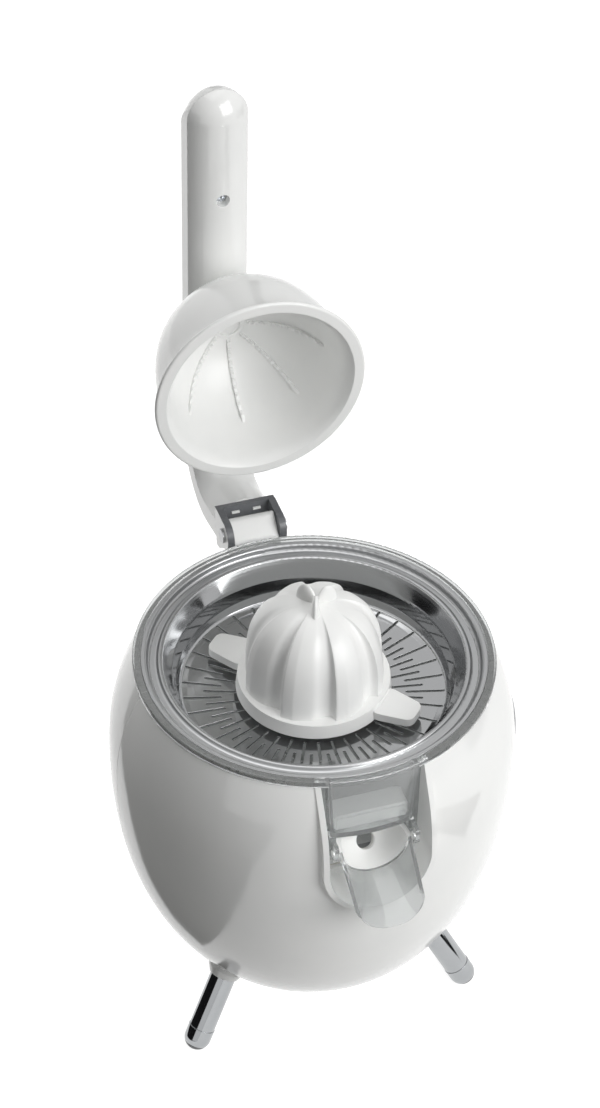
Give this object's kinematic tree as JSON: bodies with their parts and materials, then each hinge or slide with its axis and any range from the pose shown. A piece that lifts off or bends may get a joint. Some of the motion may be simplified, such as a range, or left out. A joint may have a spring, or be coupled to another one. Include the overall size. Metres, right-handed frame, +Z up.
{
  "type": "citrus press juicer",
  "caption": "Electric citrus juicer: egg-shaped body on splayed legs, ribbed cone in a slotted sieve, tilting drip-stop spout and a hinged lever arm with a press cup.",
  "frame": {"origin": "on the body's axis at table level, under the feet", "axes": "+Z up, -Y towards the spout at the front, +X to the side with the rocker switch"},
  "size_m": [0.2, 0.292, 0.439],
  "materials": {
    "white_gloss": "glossy moulded plastic",
    "white_satin": "satin moulded plastic",
    "clear_plastic": "clear moulded plastic",
    "polished_steel": "polished stainless steel",
    "chrome": "chrome-plated tube",
    "grey_rubber": "matt rubber",
    "dark_grey_plastic": "satin plastic",
    "light_grey_plastic": "satin plastic",
    "zinc_steel": "zinc-plated steel",
    "motor_steel": "rolled steel",
    "magnet": "ferrite",
    "acetal": "natural acetal",
    "black_plastic": "moulded plastic",
    "soft_rubber": "soft rubber"
  },
  "bodies": {
    "base": {"front_shell": "white_gloss", "rear_shell": "white_gloss", "spout_surround": "white_gloss", "hinge_block": "white_gloss", "inner_deck": "white_satin", "motor_end_cap": "white_satin", "juice_bowl": "clear_plastic", "sieve": "polished_steel", "idler_axle": "polished_steel", "hinge_pin": "polished_steel", "leg_front_left": "chrome", "leg_front_right": "chrome", "leg_rear": "chrome", "foot_front_left": "grey_rubber", "foot_front_right": "grey_rubber", "foot_rear": "grey_rubber", "bottom_cover": "light_grey_plastic", "rocker_frame": "light_grey_plastic", "cord_gland": "light_grey_plastic", "leg_screws": "zinc_steel", "base_screws": "zinc_steel", "deck_screws": "zinc_steel", "pillar_screws": "zinc_steel", "motor_screws": "zinc_steel", "hinge_screws": "zinc_steel", "gear_pillars": "zinc_steel", "return_spring": "zinc_steel", "motor_can": "motor_steel", "motor_magnets": "magnet", "upper_bush": "acetal", "gear_plate": "acetal", "start_switch": "black_plastic", "shaft_seal": "soft_rubber", "outlet_seal": "soft_rubber"},
    "arm": {"arm_clevis": "dark_grey_plastic", "arm_upper_shell": "white_gloss", "arm_lower_cover": "white_gloss", "arm_screws": "zinc_steel", "press_cup_shell": "white_gloss", "press_cup_liner": "white_satin", "cup_screw": "zinc_steel"},
    "plunger": {"thrust_plunger": "acetal"},
    "drive": {"drive_shaft": "polished_steel", "reamer_cone": "white_satin"},
    "output_gear": {"output_gear": "acetal"},
    "idler": {"idler_gear": "acetal"},
    "rotor": {"motor_rotor": "motor_steel"},
    "spout": {"spout_cup": "white_satin", "spout_trough": "clear_plastic"},
    "rocker": {"switch_rocker": "white_satin"}
  },
  "joints": [
    {"name": "arm_hinge", "type": "hinge", "parent": "base", "child": "arm", "pos_m": [0, 0.096, 0.216], "axis": [1, 0, 0], "range_deg": [0, 87.2]},
    {"name": "cone_press", "type": "slide", "parent": "base", "child": "plunger", "axis": [0, 0, 1], "range_m": [-0.0025, 0], "stiffness_N_per_m": 3000, "springref_m": 0.004, "deforming": ["return_spring"]},
    {"name": "cone_spin", "type": "hinge", "parent": "plunger", "child": "drive", "pos_m": [0, 0, 0.2], "axis": [0, 0, 1], "continuous": true},
    {"name": "rotor_spin", "type": "hinge", "parent": "base", "child": "rotor", "pos_m": [0, -0.038, 0.1], "axis": [0, 0, 1], "continuous": true},
    {"name": "idler_spin", "type": "hinge", "parent": "base", "child": "idler", "pos_m": [0.02188, -0.02053, 0.13], "axis": [0, 0, 1], "continuous": true},
    {"name": "output_gear_spin", "type": "hinge", "parent": "base", "child": "output_gear", "pos_m": [0, 0, 0.13], "axis": [0, 0, 1], "continuous": true},
    {"name": "spout_tilt", "type": "hinge", "parent": "base", "child": "spout", "pos_m": [0, -0.091, 0.174], "axis": [-1, 0, 0], "range_deg": [0, 42]},
    {"name": "rocker_tilt", "type": "hinge", "parent": "base", "child": "rocker", "pos_m": [0.09412, -0.02347, 0.1645], "axis": [0.2419, 0.9703, 0], "range_deg": [0, 14]}
  ],
  "couplings": [
    {"joint": "idler_spin", "follows": "rotor_spin", "ratio": -0.27273},
    {"joint": "output_gear_spin", "follows": "rotor_spin", "ratio": 0.068182},
    {"joint": "cone_spin", "follows": "rotor_spin", "ratio": 0.068182}
  ]
}
